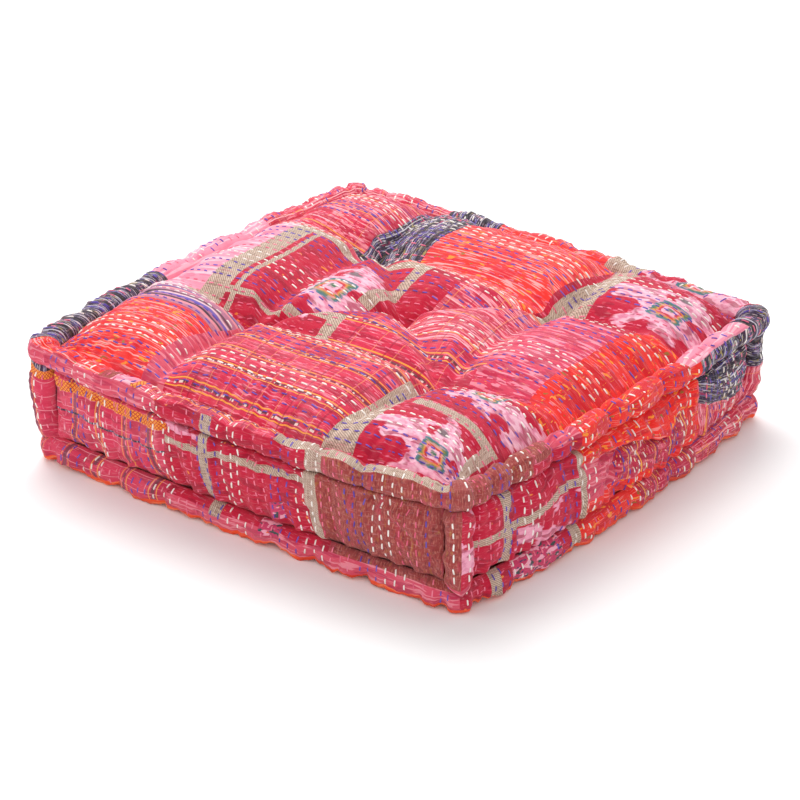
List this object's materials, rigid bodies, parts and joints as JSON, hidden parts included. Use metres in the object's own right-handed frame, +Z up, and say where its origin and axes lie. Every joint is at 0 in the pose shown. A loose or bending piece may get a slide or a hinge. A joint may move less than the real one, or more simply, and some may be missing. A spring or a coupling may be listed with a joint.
{
  "type": "patchwork seat cushion",
  "caption": "Square floor cushion of quilted cotton patchwork: tufted top, stuffed sides, and rolled edges round the top, the base and the corners.",
  "frame": {"origin": "on the surface it stands on, under the middle of its outline", "axes": "+Z up, +X along the front wall, from the left corner to the front corner, and +Y towards the back wall"},
  "size_m": [0.5223, 0.5171, 0.1431],
  "materials": {
    "body_cloth": "matt quilted cotton patchwork",
    "roll_cloth": "matt quilted cotton patchwork, rolled and stitched"
  },
  "bodies": {
    "root": {"cushion_body": "body_cloth", "top_edge_roll": "roll_cloth", "base_edge_roll": "roll_cloth", "corner_roll_left": "roll_cloth", "corner_roll_front": "roll_cloth", "corner_roll_right": "roll_cloth", "corner_roll_back": "roll_cloth"}
  },
  "joints": []
}
